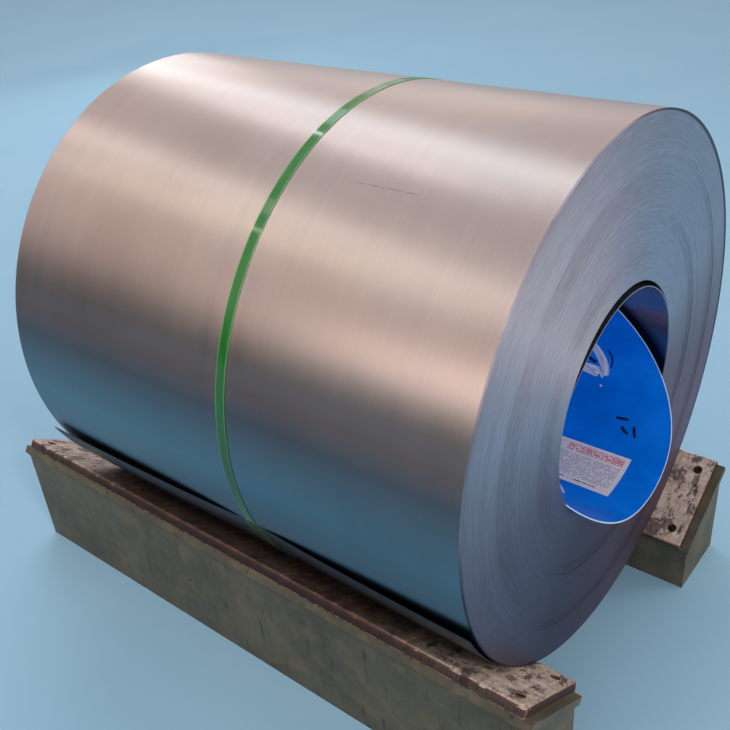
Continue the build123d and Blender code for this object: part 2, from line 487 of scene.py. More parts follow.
# %% Extruded strap and blue sheet
def make_strap_plastic():
    """Green polyester strap, extruded and glossy."""
    gloss = {"Specular_IOR_Level": 0, "Coat_Weight": 1, "Coat_Roughness": 0.09}
    material = start_material("extruded_polyester", **gloss)
    strip = coil_coordinates(material)
    pulling = add(material, "Mapping", {"Vector": strip, "Scale": per_mm(2, 70, 0)})
    scuffs = add(material, "TexNoise", {"Vector": pulling, "Scale": 1, "Detail": 4, "Roughness": 0.7})
    soiling = add(material, "Mapping", {"Vector": strip, "Scale": per_mm(40, 120, 0)})
    soil = add(material, "TexNoise", {"Vector": soiling, "Scale": 1, "Detail": 3})
    along, _, _ = add(material, "SeparateXYZ", {0: strip}, result="all")
    off_middle = add(material, "Math", {0: along, 1: strap_x}, operation="SUBTRACT")
    off_middle = add(material, "Math", {0: off_middle}, operation="ABSOLUTE")
    stops = [(0.3, "#217429"), (0.55, "#2D8533"), (0.75, "#5A9F55")]
    colour = add(material, "ValToRGB", {0: scuffs}, stops=stops)
    for pattern, start, end, most, tone in (
        (soil, 0.45, 0.8, 0.35, "#4E7A4C"),
        (off_middle, 9.5 * MM, 12 * MM, 0.7, "#98CC90"),
    ):
        colour = stain(material, colour, pattern, start, end, most, tone)
    # painted shade: the strap darker low down on the coil
    painted_shading_below = {"Value": level_on_coil(material, strip), "From Min": -0.1, "From Max": 0.5}
    painted_shading_below = add(material, "MapRange", painted_shading_below)
    colour = tint(material, colour, painted_shading_below, [(0, "#84A496"), (1, "#FFFFFF")])
    rough = {"Value": scuffs, "From Min": 0.3, "From Max": 0.8, "To Min": 0.22, "To Max": 0.45}
    return finish_material(material, Base_Color=colour, Roughness=add(material, "MapRange", rough))


def make_liner_plastic():
    """Blue polypropylene sheet with a bruised cut edge."""
    material = start_material("polypropylene_sheet", Specular_IOR_Level=0.1)
    strip = coil_coordinates(material)
    clouding = add(material, "Mapping", {"Vector": strip, "Scale": per_mm(130, 200, 0)})
    cloud = add(material, "TexNoise", {"Vector": clouding, "Scale": 1, "Detail": 3})
    rubbing = add(material, "Mapping", {"Vector": strip, "Scale": per_mm(34, 9, 0)})
    rub = add(material, "TexNoise", {"Vector": rubbing, "Scale": 1, "Detail": 5, "Roughness": 0.7})
    stops = [(0.3, "#0070DC"), (0.5, "#007AEA"), (0.7, "#0886F6")]
    blue = add(material, "ValToRGB", {0: cloud}, stops=stops)
    sheet = stain(material, blue, rub, 0.62, 0.85, 0.4, "#3A88DC")
    here = add(material, "TexCoord", result="Object")
    centred = add(material, "Mapping", {"Vector": here, "Location": (0, 0, -axis_height)})
    flat = add(material, "VectorMath", {0: centred, 1: (0, 1, 1)}, operation="MULTIPLY")
    outwards = add(material, "VectorMath", {0: flat}, operation="NORMALIZE")
    facing = add(material, "NewGeometry", result="True Normal")
    level = add(material, "VectorMath", {0: outwards, 1: facing}, operation="DOT_PRODUCT")
    upright = add(material, "Math", {0: level}, operation="ABSOLUTE")
    cut = add(material, "Math", {0: upright, 1: 0.5}, operation="LESS_THAN")
    colour = add(material, "Mix", {"Factor": cut, "A": sheet, "B": linear("#B9CDE8")}, data_type="RGBA")
    rough = {"Value": cloud, "From Min": 0.3, "From Max": 0.7, "To Min": 0.28, "To Max": 0.4}
    return finish_material(material, Base_Color=colour, Roughness=add(material, "MapRange", rough))


extruded_polyester = make_strap_plastic()
polypropylene_sheet = make_liner_plastic()

# %% [markdown]
# ## Worn timber
#
# The boards are sawn hardwood, oily and trodden. The grain is faint and runs along the board.
# Everything darker runs across it: the marks of the saw, and the smudges that coils leave when
# they are rolled on. Each is a noise of its own, stretched along or across the board, so each can
# be made stronger or weaker by itself. The ends, which stick out past the coils, are bleached to
# a greyish cream with dark blotches and pale knocks, and the middle is painted dark, partly as
# trodden dirt and partly as painted shade under the coil. A side is orange wood under its arris
# and darker lower down, which the shader tells by how far a point lies below the board's face.
# Edges are rubbed down to pale wood: a Bevel node tells how near an edge is.

# %% The rails' slope
rail_slope = 32.5
board_length = 1600 * MM
board_width = 250 * MM
board_thickness = 25 * MM
plate_thickness = 20 * MM
edge_past_contact = {-1: 10 * MM, 1: 95 * MM}
box_inset = 8 * MM
plate_past_board = 18 * MM
rails = {"front": -1, "rear": 1}


def on_rail(side, along, depth, x):
    """A point of a rail: up its slope from the line that carries the coil, and below its face."""
    slope = math.radians(rail_slope)
    up_slope = Vector((0, side * math.cos(slope), math.sin(slope)))
    off_face = Vector((0, -side * math.sin(slope), math.cos(slope)))
    carrying_line = Vector((x, 0, axis_height)) - off_face * (coil_radius + contact_gap)
    return carrying_line + up_slope * along - off_face * depth


print("front contact:", on_rail(-1, 0, 0, 0), "rear contact:", on_rail(1, 0, 0, 0))


# %% Sawn hardwood
def make_hardwood():
    """Oiled and battered sawn hardwood."""
    material = start_material("sawn_hardwood", Specular_IOR_Level=0.3)
    here = add(material, "TexCoord", result="Object")
    layers = {}
    for layer, sizes, detail, distortion in (
        ("grain", (180, 14, 14), 5, 0.6),
        ("saw_marks", (13, 120, 120), 4, 0.5),
        ("smudges", (30, 60, 60), 4, 0.5),
        ("knocks", (12, 17, 17), 4, 0.5),
    ):
        where = add(material, "Mapping", {"Vector": here, "Scale": per_mm(*sizes)})
        grain = {"Vector": where, "Scale": 1, "Detail": detail, "Roughness": 0.65}
        layers[layer] = add(material, "TexNoise", grain | {"Distortion": distortion})
    along, sideways, up = add(material, "SeparateXYZ", {0: here}, result="all")
    off_middle = add(material, "Math", {0: along}, operation="ABSOLUTE")
    off_middle = {0: layers["saw_marks"], 1: 0.5, 2: off_middle}
    off_middle = add(material, "Math", off_middle, operation="MULTIPLY_ADD")
    # the middle of a board darker: trodden dirt, and painted shade under the coil
    trodden_and_painted_shade = {"Value": off_middle, "From Min": near_face_x + 0.22, "From Max": near_face_x - 0.02}
    layers["trodden_and_painted_shade"] = add(material, "MapRange", trodden_and_painted_shade)
    stops = [(0.30, "#B29E8C"), (0.46, "#C8B6A4"), (0.58, "#D6C5B3"), (0.72, "#E4D5C5")]
    colour = add(material, "ValToRGB", {0: layers["grain"]}, stops=stops)
    for layer, start, end, most, tone in (
        ("saw_marks", 0.52, 0.68, 0.4, "#86705F"),
        ("smudges", 0.50, 0.58, 0.85, "#4A3F3E"),
        ("knocks", 0.58, 0.64, 0.8, "#2C2428"),
        ("knocks", 0.43, 0.37, 0.65, "#EEDDCB"),
        ("trodden_and_painted_shade", 0, 1, 0.88, "#4A372D"),
        ("saw_marks", 0.46, 0.38, 0.4, "#A08468"),
    ):
        colour = stain(material, colour, layers[layer], start, end, most, tone)
    slope = math.radians(rail_slope)
    off_axis = add(material, "Math", {0: sideways}, operation="ABSOLUTE")
    above = add(material, "Math", {0: off_axis, 1: -math.sin(slope)}, operation="MULTIPLY")
    above = add(material, "Math", {0: up, 1: math.cos(slope), 2: above}, operation="MULTIPLY_ADD")
    face = axis_height * math.cos(slope) - coil_radius - contact_gap
    below = {"Value": above, "From Min": face, "From Max": face - board_thickness}
    below = add(material, "MapRange", below)
    lower = add(material, "Math", {0: below, 1: 0.3}, operation="GREATER_THAN")
    uneven = add(material, "Math", {0: layers["smudges"], 1: 0.4, 2: -0.2}, operation="MULTIPLY_ADD")
    below = add(material, "Math", {0: below, 1: uneven}, operation="ADD")
    # a side is darker lower down, by how far a point lies below the board's face
    side_stops = [(0.0, "#96623F"), (0.18, "#5A3829"), (0.4, "#33221F"), (0.8, "#241918")]
    side = add(material, "ValToRGB", {0: below}, stops=side_stops)
    facing = add(material, "NewGeometry", result="True Normal")
    facing_x, _, facing_z = add(material, "SeparateXYZ", {0: facing}, result="all")
    on_side = add(material, "Math", {0: facing_z, 1: 0.7}, operation="LESS_THAN")
    on_side = add(material, "Math", {0: on_side, 1: lower}, operation="MAXIMUM")
    on_side = add(material, "Math", {0: on_side, 1: 0.92}, operation="MULTIPLY")
    colour = add(material, "Mix", {"Factor": on_side, "A": colour, "B": side}, data_type="RGBA")
    on_end = add(material, "Math", {0: facing_x}, operation="ABSOLUTE")
    on_end = add(material, "Math", {0: on_end, 1: 0.8}, operation="GREATER_THAN")
    on_end = add(material, "Math", {0: on_end, 1: 0.8}, operation="MULTIPLY")
    colour = add(material, "Mix", {"Factor": on_end, "A": colour, "B": linear("#38251F")}, data_type="RGBA")
    rounded = add(material, "Bevel", {"Radius": 5 * MM}, samples=4)
    sharp = add(material, "VectorMath", {0: rounded, 1: facing}, operation="DOT_PRODUCT")
    edge = {"Value": sharp, "From Min": 0.95, "From Max": 0.8, "To Min": 0, "To Max": 0.75}
    worn = {"Value": layers["knocks"], "From Min": 0.42, "From Max": 0.56}
    rubbed = {0: add(material, "MapRange", edge), 1: add(material, "MapRange", worn)}
    rubbed = add(material, "Math", rubbed, operation="MULTIPLY")
    colour = add(material, "Mix", {"Factor": rubbed, "A": colour, "B": linear("#D9AE8A")}, data_type="RGBA")
    oily = {"Value": layers["smudges"], "From Min": 0.4, "From Max": 0.7, "To Min": 0.78, "To Max": 0.5}
    rough = add(material, "MapRange", oily)
    fibres = add(material, "Math", {0: layers["saw_marks"], 1: 0.8}, operation="MULTIPLY")
    relief = add(material, "Math", {0: layers["knocks"], 1: -1.2, 2: fibres}, operation="MULTIPLY_ADD")
    bump = add(material, "Bump", {"Strength": 0.6, "Distance": 1.5 * MM, "Height": relief})
    return finish_material(material, Base_Color=colour, Roughness=rough, Normal=bump)


sawn_hardwood = make_hardwood()

# %% [markdown]
# ## Painted steel
#
# The bearers are welded plate under old green paint. Four layers make it: the dull green with a
# little fading, dark runs down the sides, dust that lies in patches, and chips down to dark rusty
# steel, which are most frequent along the edges. A chip is as deep as the paint, which is too
# little to model, so a bump shows it.


# %% Chipped green paint
def make_bearer_paint():
    """Brushed enamel on steel plate, dusty and chipped."""
    material = start_material("chipped_enamel")
    here = add(material, "TexCoord", result="Object")
    layers = {}
    for layer, sizes, detail in (
        ("fading", (180, 180, 180), 3),
        ("runs", (11, 11, 110), 4),
        ("patchiness", (55, 55, 55), 6),
        ("chips", (24, 24, 24), 7),
    ):
        where = add(material, "Mapping", {"Vector": here, "Scale": per_mm(*sizes)})
        spread = {"Vector": where, "Scale": 1, "Detail": detail, "Roughness": 0.65}
        layers[layer] = add(material, "TexNoise", spread)
    stops = [(0.3, "#4A4636"), (0.5, "#57523F"), (0.7, "#655F4A")]
    colour = add(material, "ValToRGB", {0: layers["fading"]}, stops=stops)
    for layer, start, end, most, tone in (
        ("runs", 0.59, 0.66, 0.7, "#26231C"),
        ("patchiness", 0.48, 0.72, 0.5, "#84795F"),
    ):
        colour = stain(material, colour, layers[layer], start, end, most, tone)
    facing = add(material, "NewGeometry", result="True Normal")
    rounded = add(material, "Bevel", {"Radius": 6 * MM}, samples=4)
    sharp = add(material, "VectorMath", {0: rounded, 1: facing}, operation="DOT_PRODUCT")
    edge = {"Value": sharp, "From Min": 0.99, "From Max": 0.88, "To Min": 0, "To Max": 0.18}
    likely = {0: layers["chips"], 1: add(material, "MapRange", edge)}
    likely = add(material, "Math", likely, operation="ADD")
    bare = add(material, "MapRange", {"Value": likely, "From Min": 0.655, "From Max": 0.675})
    rust = {"Factor": layers["patchiness"], "A": linear("#2A211F"), "B": linear("#654535")}
    rust = add(material, "Mix", rust, data_type="RGBA")
    colour = add(material, "Mix", {"Factor": bare, "A": colour, "B": rust}, data_type="RGBA")
    dusty = {"Value": layers["patchiness"], "From Min": 0.3, "From Max": 0.7, "To Min": 0.42, "To Max": 0.75}
    rough = add(material, "MapRange", dusty)
    lying = add(material, "Math", {0: layers["patchiness"], 1: 0.3}, operation="MULTIPLY")
    relief = add(material, "Math", {0: bare, 1: -1, 2: lying}, operation="MULTIPLY_ADD")
    bump = add(material, "Bump", {"Strength": 0.5, "Distance": 0.6 * MM, "Height": relief})
    return finish_material(material, Base_Color=colour, Roughness=rough, Normal=bump)


chipped_enamel = make_bearer_paint()

# %% [markdown]
# ## Dressing the model's own pieces
#
# Each piece of the model could be modelled again with more detail. But four of them have the right
# shape already, so they stay, and only their material slots change. The coil and the two boards
# come later: copies stand for them.

# %% Put the materials on the model
finishes = {
    "strap": extruded_polyester,
    "bore_liner": polypropylene_sheet,
    "front_bearer": chipped_enamel,
    "rear_bearer": chipped_enamel,
}
for node_name, material in finishes.items():
    for slot in frame["nodes"][node_name].material_slots:
        slot.material = material
print("dressed", len(finishes), "pieces")


# %% A finished piece
merge_distance = 0.01 * MM
sharp_angle = 35


def finish_piece(bm, name, material):
    """Makes a closed and shaded piece of a bmesh, which stays with the coil."""
    bmesh.ops.remove_doubles(bm, verts=bm.verts, dist=merge_distance)
    bmesh.ops.recalc_face_normals(bm, faces=bm.faces)
    mesh = bpy.data.meshes.new(name)
    bm.to_mesh(mesh)
    bm.free()
    # A copy of a model's mesh brings its old normals along, which don't fit any more
    if mesh.has_custom_normals:
        mesh.attributes.remove(mesh.attributes["custom_normal"])
    mesh.materials.append(material)
    mesh.shade_smooth()
    mesh.set_sharp_from_angle(angle=math.radians(sharp_angle))
    piece = bpy.data.objects.new(name, mesh)
    bpy.context.scene.collection.objects.link(piece)
    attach(piece, "root")
    print(name, len(mesh.polygons), "faces")
    return piece


print("corners over", sharp_angle, "degrees stay sharp")

# %% [markdown]
# ## A coil without a seam
#
# The coil in the model was turned once round, from the top to the top again. Its triangles don't
# share their points there, so the metal's reflections would break at a fine line, and real strip
# has no such line. A copy has these points merged and its shading worked out anew: smooth over
# flat angles, and sharp over any corner of more than 35 degrees. Its shape is the same.

# %% Close the coil's seam
coil_node = frame["nodes"]["steel_coil"]
bm = bmesh.new()
bm.from_mesh(coil_node.data)
bm.transform(coil_node.matrix_world)
seamless_coil = finish_piece(bm, "seamless_coil", cold_rolled_steel)
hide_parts("steel_coil")

# %% [markdown]
# ## Boards with chips and dents
#
# Years of coils have bruised the boards. A bump would show the dents, but it leaves the outline
# straight, and a chip shows best in the outline. So each copy of a board is cut into squares of
# about eight millimetres, which gives it points to move. Every point then goes inwards only, so
# the board never grows: the face is dented a little where a slow noise is high, and points near
# an edge are knocked in further where a rougher noise is high, which leaves chips.

# %% Wear the boards
square = 8 * MM
cut_depths = (7 * MM, 16 * MM)
dent_depth = 1.8 * MM
chip_depth = 14 * MM
chip_reach = 9 * MM
chips_down_to = 17.5 * MM
dent_noise_scale = 26
chip_noise_scale = 24
splinter_noise_scale = 70
chip_threshold = 0.3


def wear_board(side, name):
    """A worn copy of a model's board."""
    node = frame["nodes"][name]
    bm = bmesh.new()
    bm.from_mesh(node.data)
    bm.transform(node.matrix_world)
    bmesh.ops.remove_doubles(bm, verts=bm.verts, dist=merge_distance)
    lengthways = Vector((1, 0, 0))
    up_slope = on_rail(side, 1, 0, 0) - on_rail(side, 0, 0, 0)
    into_wood = on_rail(side, 0, 1, 0) - on_rail(side, 0, 0, 0)
    low = -edge_past_contact[side]
    half_count = round(board_length / square / 2)
    steps = int(board_width / square)
    cuts = [(Vector((x * square, 0, 0)), lengthways) for x in range(1 - half_count, half_count)]
    rows = [low + step * board_width / steps for step in range(1, steps)]
    cuts += [(on_rail(side, along, 0, 0), up_slope) for along in rows]
    cuts += [(on_rail(side, 0, depth, 0), into_wood) for depth in cut_depths]
    for place, across in cuts:
        whole = bm.verts[:] + bm.edges[:] + bm.faces[:]
        bmesh.ops.bisect_plane(bm, geom=whole, plane_co=place, plane_no=across)
    middle = on_rail(side, low + board_width / 2, board_thickness / 2, 0)
    ways = (lengthways, up_slope, -into_wood)
    half_sizes = (board_length / 2, board_width / 2, board_thickness / 2)
    for vert in bm.verts:
        offset = vert.co - middle
        depths = [half - abs(offset.dot(way)) for way, half in zip(ways, half_sizes)]
        slow = noise.noise(vert.co * dent_noise_scale + Vector((side * 5, 0, 0)))
        quick = noise.noise(vert.co * chip_noise_scale + Vector((0, side * 9, 0)))
        quick += 0.5 * noise.noise(vert.co * splinter_noise_scale)
        near_edges = sorted(depths)[1]
        height = offset.dot(-into_wood)
        if height > 0 and depths[2] < MM and near_edges > chip_reach:
            vert.co += into_wood * dent_depth * max(slow, 0)
        if height > board_thickness / 2 - chips_down_to and near_edges < chip_reach:
            knock = chip_depth * max(quick - chip_threshold, 0) * (1 - near_edges / chip_reach)
            for way, depth in zip(ways, depths):
                if depth < chip_reach:
                    vert.co -= way * math.copysign(knock, offset.dot(way))
    worn = finish_piece(bm, f"worn_{name}", sawn_hardwood)
    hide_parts(name)


for rail_name, side in rails.items():
    wear_board(side, f"{rail_name}_board")

# %% [markdown]
# ## The turns on the ends
#
# A coil's end shows every turn as a thin ring, and none lies quite flush with the next. The
# model holds the big steps, where the strip wandered sideways. Here each end gets the small ones.
# A bump could draw them, but the turns that stand out furthest also catch the light on their
# sides. So a profile with one little step for each turn is spun about the axis, as on a lathe,
# and the washer it makes is sunk into the model's end so that only its relief shows.
# Behind a ring that stands proud the end falls away over a few turns, and before one it rises,
# because the strip wandered over several turns and didn't jump. Cold-rolled strip is seldom more
# than three millimetres thick. Its turns are drawn four thick, so that they can be told apart.

# %% Spin the ends' relief
lap_pitch = 4 * MM
deepest_setback = 6 * MM
near_rings = [(0.10, 0.0), (0.40, 0.65), (0.52, 0.25), (0.765, 0.85), (0.95, 0.35), (1.0, 1.0)]
far_rings = [(0.17, 0.5), (0.46, 0.0), (0.85, 0.4), (1.0, 0.15)]
relief_base = 0.15 * MM
relief_height = 0.35 * MM
relief_root = 2 * MM
fall_behind_ring = 45 * MM
rise_before_ring = 22 * MM
most_rise = 0.7
rim_margin = 0.3 * MM
spin_steps = 192


def ring_setback(rings, radius):
    """How far an end is set back at a radius. Behind a proud ring it falls away over a few turns."""
    share = (radius - bore_radius) / wind
    number = next(number for number, (outer, _) in enumerate(rings) if share <= outer)
    setback = rings[number][1]
    if number and rings[number - 1][1] < setback:
        past_ring = radius - bore_radius - rings[number - 1][0] * wind
        fallen = min(past_ring / fall_behind_ring, 1)
        setback = rings[number - 1][1] * (1 - fallen) + setback * fallen
    if number + 1 < len(rings) and rings[number + 1][1] < setback:
        before_ring = bore_radius + rings[number][0] * wind - radius
        risen = most_rise * max(1 - before_ring / rise_before_ring, 0)
        setback = setback * (1 - risen) + rings[number + 1][1] * risen
    return setback * deepest_setback


def make_end_turns(name, rings, face_x, outwards, seed):
    """The small steps between the turns on one end."""
    draw = random.Random(seed)
    laps = int(wind / lap_pitch)
    pitch = (wind - 2 * rim_margin) / laps
    edges = [bore_radius + rim_margin + step * pitch for step in range(laps + 1)]
    profile = []
    for inner, outer in zip(edges, edges[1:]):
        # The high power leaves most turns nearly flush, and few of them stand out
        proud = relief_base + relief_height * draw.random() ** 6
        x = face_x - outwards * (ring_setback(rings, (inner + outer) / 2) - proud)
        profile += [(x, inner), (x, outer)]
    back = face_x - outwards * (deepest_setback + relief_root)
    profile += [(back, edges[-1]), (back, edges[0])]
    bm = bmesh.new()
    corners = [bm.verts.new(around(radius, 0, x)) for x, radius in profile]
    lines = [bm.edges.new(pair) for pair in zip(corners, corners[1:] + corners[:1])]
    bmesh.ops.spin(
        bm,
        geom=corners + lines,
        cent=(0, 0, axis_height),
        axis=(1, 0, 0),
        angle=math.tau,
        steps=spin_steps,
        use_merge=True,
    )
    finish_piece(bm, name, slit_edges)


make_end_turns("near_end_turns", near_rings, near_face_x, 1, seed=3)
make_end_turns("far_end_turns", far_rings, far_face_x, -1, seed=8)


# %% [markdown]
# ## Sheets on a round wall
#
# The label, the paint strokes and the loose inner lap are all thin sheets that follow a round
# wall. Each could be cut out of a cylinder, but a slanting ribbon is hard to cut. So each starts
# as a flat grid of one unit square. It is extruded to give it a second side, and then every point
# is laid on the wall. A grid operator gives the faces, and a formula the bend and the thickness.


# %% Lay a grid on a round wall
def wall_sheet(name, columns, rows, place, material):
    """A sheet laid on a wall: place(u, v, side) gives its points, with side 0 inside and 1 outside."""
    bm = bmesh.new()
    bmesh.ops.create_grid(bm, x_segments=columns, y_segments=rows, size=0.5)
    inside = bm.verts[:]
    grown = bmesh.ops.extrude_face_region(bm, geom=bm.faces[:])
    outside = [part for part in grown["geom"] if isinstance(part, bmesh.types.BMVert)]
    layer = bm.loops.layers.uv.new("sheet")
    for face in bm.faces:
        for loop in face.loops:
            loop[layer].uv = (loop.vert.co.x + 0.5, loop.vert.co.y + 0.5)
    for side, verts in enumerate((inside, outside)):
        for vert in verts:
            vert.co = place(vert.co.x + 0.5, vert.co.y + 0.5, side)
    return finish_piece(bm, name, material)


print("one helper for sheets on a wall")

# %% [markdown]
# ## The loose inner lap
#
# The first turn of the strip has sprung away from the top of the bore. It shows as a thin grey
# edge with a black gap behind it, widest to the left of the top. It is modelled as a strip that
# stands off the wall at the face and comes back to it further in. Its ends are sunk in the wall.
# Its back, which looks into the gap, is painted black as painted shade.

# %% Bend the inner lap
lap_thickness = 2 * MM
lap_sunk = 2.2 * MM
lap_depth = 300 * MM
lap_from, lap_to = -62, 72
lap_standoff = 25 * MM
lap_behind_face = 1 * MM


def inner_lap_point(u, v, side):
    """A point of the loose lap: u runs round the bore's top, v into the bore."""
    # A power below 1 moves the widest gap to the left of the top
    rise = math.sin(math.pi * u ** 0.62) ** 1.4
    settle = (1 - v) ** 1.5
    depth = lap_depth * math.sin(math.pi * (0.15 + 0.7 * u)) * v
    radius = bore_radius + lap_sunk - lap_standoff * rise * settle + (side - 1) * lap_thickness
    return around(radius, lap_from + u * (lap_to - lap_from), near_face_x - lap_behind_face - depth)


def make_painted_gap_shade():
    """Painted shade: a near-black with a little gloss, for a surface that lies in a shaded gap."""
    material = start_material("painted_gap_shade")
    strip = coil_coordinates(material)
    patch_place = add(material, "Mapping", {"Vector": strip, "Scale": per_mm(30, 60, 0)})
    patchiness = add(material, "TexNoise", {"Vector": patch_place, "Scale": 1, "Detail": 3})
    colour = add(material, "ValToRGB", {0: patchiness}, stops=[(0.35, "#0B0C12"), (0.7, "#15161C")])
    rough = {"Value": patchiness, "From Min": 0.3, "From Max": 0.7, "To Min": 0.45, "To Max": 0.7}
    return finish_material(material, Base_Color=colour, Roughness=add(material, "MapRange", rough))


inner_lap = wall_sheet("loose_inner_lap", 64, 16, inner_lap_point, cold_rolled_steel)
inner_lap.data.materials.append(make_painted_gap_shade())
# the faces that look outwards, into the gap, take the painted shade
for polygon in inner_lap.data.polygons:
    outwards = Vector((0, polygon.center.y, polygon.center.z - axis_height)).normalized()
    if polygon.normal.dot(outwards) > 0.3:
        polygon.material_index = 1

# %% [markdown]
# ## The label
#
# A paper label is stuck to the liner, just inside the face. Its print says nothing here: a red
# band of broken dashes stands for a heading, grey rows for small print and a dark row for a last
# line. Letters could be made as text and laid on the sheet, but rows that can't be read need
# none. They come from the label's own map: its height is cut into rows, and noise along each row
# decides where there is ink, in pieces about as long as words.


# %% Printed paper
print_rows = 22
word_scale = 34
row_step = 7.3


def make_label_paper():
    """Matt white paper with rows of meaningless print."""
    material = start_material("printed_paper", Roughness=0.55)
    sheet = add(material, "UVMap", uv_map="sheet")
    across, up, _ = add(material, "SeparateXYZ", {0: sheet}, result="all")
    rows = add(material, "Math", {0: up, 1: print_rows}, operation="MULTIPLY")
    row = add(material, "Math", {0: rows}, operation="FLOOR")
    in_row = add(material, "Math", {0: rows}, operation="FRACT")
    along = add(material, "CombineXYZ", {"X": across, "Y": row})
    words = add(material, "Mapping", {"Vector": along, "Scale": (word_scale, row_step, 1)})
    words = add(material, "TexNoise", {"Vector": words, "Scale": 1, "Detail": 2})
    inked = add(material, "Math", {0: words, 1: 0.45}, operation="GREATER_THAN")
    line = add(material, "Math", {0: in_row, 1: 0.5, 2: 0.3}, operation="COMPARE")
    inside = add(material, "Math", {0: across, 1: 0.5, 2: 0.44}, operation="COMPARE")
    for limit in (line, inside):
        inked = add(material, "Math", {0: inked, 1: limit}, operation="MULTIPLY")
    ageing = add(material, "Mapping", {"Vector": sheet, "Scale": (5, 4, 1)})
    ageing = add(material, "TexNoise", {"Vector": ageing, "Scale": 1, "Detail": 4})
    colour = add(material, "ValToRGB", {0: ageing}, stops=[(0.3, "#E0DDDF"), (0.7, "#F0EEEE")])
    for middle, half, first, last, ink in (
        (0.46, 0.28, 0, 1, "#B8B3C0"),
        (0.86, 0.075, 0.2, 0.94, "#D8485A"),
        (0.12, 0.025, 0, 0.8, "#3A3644"),
    ):
        band = add(material, "Math", {0: up, 1: middle, 2: half}, operation="COMPARE")
        reach = {0: across, 1: (first + last) / 2, 2: (last - first) / 2}
        reach = add(material, "Math", reach, operation="COMPARE")
        share = add(material, "Math", {0: inked, 1: band}, operation="MULTIPLY")
        share = add(material, "Math", {0: share, 1: reach}, operation="MULTIPLY")
        colour = add(material, "Mix", {"Factor": share, "A": colour, "B": linear(ink)}, data_type="RGBA")
    return finish_material(material, Base_Color=colour)


printed_paper = make_label_paper()

# %% Stick the label on the liner
label_near, label_far = 1 * MM, 190 * MM
label_head, label_foot = 155, 183.5
paper_thickness = 0.3 * MM
paper_sunk = 0.5 * MM


def label_point(u, v, side):
    """A point of the label: u runs from its inner end to the face, v from its foot to its head."""
    x = near_face_x - label_far + u * (label_far - label_near)
    radius = liner_wall_radius + (paper_sunk if side else -paper_thickness)
    return around(radius, label_foot + v * (label_head - label_foot), x)


wall_sheet("bore_label", 24, 12, label_point, printed_paper)


# %% [markdown]
# ## Paint strokes and marker
#
# Somebody marked the liner with a brush of white paint and with a felt marker. The strokes here
# are plain strokes and no letters or numbers. They could be painted on the liner's own map. But
# its shader has none, and a ribbon along a short path on the wall can be moved by its path alone.
# The white ones run dry: the bristles leave blue lines in them.


# %% Dry white paint and dark marker
def make_brush_paint():
    """White paint from a dry brush, streaked with the blue below."""
    material = start_material("dry_brush_paint", Roughness=0.5)
    sheet = add(material, "UVMap", uv_map="sheet")
    brushing = add(material, "Mapping", {"Vector": sheet, "Scale": (1.5, 7, 1)})
    bristles = add(material, "TexNoise", {"Vector": brushing, "Scale": 1, "Detail": 3})
    stops = [(0.32, "#2A66BE"), (0.42, "#A9BCE0"), (0.56, "#E6EAF6")]
    return finish_material(material, Base_Color=add(material, "ValToRGB", {0: bristles}, stops=stops))


def make_marker_ink():
    """Dark felt-marker ink, thin enough to show some blue."""
    material = start_material("marker_ink", Roughness=0.4)
    sheet = add(material, "UVMap", uv_map="sheet")
    drying = add(material, "Mapping", {"Vector": sheet, "Scale": (5, 2, 1)})
    wet = add(material, "TexNoise", {"Vector": drying, "Scale": 1, "Detail": 2})
    stops = [(0.3, "#0A1330"), (0.7, "#10234F")]
    return finish_material(material, Base_Color=add(material, "ValToRGB", {0: wet}, stops=stops))


dry_brush_paint = make_brush_paint()
marker_ink = make_marker_ink()


# %% Draw the strokes
stroke_thickness = 0.15 * MM
corner_smoothing = 0.12
look_ahead = 0.15


def draw_stroke(name, path, width, material):
    """A ribbon on the liner's wall. The path lists depth behind the face in mm, and the angle."""
    points = [Vector((depth * MM, math.radians(angle) * liner_wall_radius)) for depth, angle in path]

    def on_path(u):
        place = min(max(u, 0), 1) * (len(points) - 1)
        first = min(int(place), len(points) - 2)
        return points[first].lerp(points[first + 1], place - first)

    def middle(u):
        return (on_path(u - corner_smoothing) + on_path(u) + on_path(u + corner_smoothing)) / 3

    def stroke_point(u, v, side):
        ahead = middle(min(u + look_ahead, 1)) - middle(max(u - look_ahead, 0))
        aside = Vector((-ahead.y, ahead.x)).normalized()
        taper = width * (0.6 + 0.4 * math.sin(math.pi * u) ** 0.5)
        flat = middle(u) + aside * (v - 0.5) * taper
        radius = liner_wall_radius + (paper_sunk if side else -stroke_thickness)
        return around(radius, math.degrees(flat.y / liner_wall_radius), near_face_x - flat.x)

    wall_sheet(name, 24, 4, stroke_point, material)


white_strokes = [
    ([(184, 99), (174, 101), (156, 104.5), (142, 108.8), (134, 112.2), (129, 116)], 21 * MM),
    ([(196, 113.8), (173, 114), (156, 114.3), (147, 115)], 25 * MM),
    ([(155, 111.4), (147, 114.3), (136, 117)], 6 * MM),
    ([(139, 121), (133, 121.6)], 5 * MM),
    ([(108, 188), (93.5, 191.8), (80, 195.2)], 6 * MM),
]
marker_strokes = [
    ([(77, 135.3), (62, 134.9), (45, 134.5)], 7 * MM),
    ([(57, 138.9), (46, 141), (34, 142.1)], 7 * MM),
    ([(28.5, 137), (25, 139), (16, 143.3)], 7 * MM),
    ([(142, 100.5), (126, 103.5), (121, 107), (124, 111)], 5 * MM),
    ([(186, 107.5), (170, 109), (160, 109.5)], 9 * MM),
]
for number, (path, width) in enumerate(white_strokes, 1):
    draw_stroke(f"paint_stroke_{number}", path, width, dry_brush_paint)
for number, (path, width) in enumerate(marker_strokes, 1):
    draw_stroke(f"marker_stroke_{number}", path, width, marker_ink)

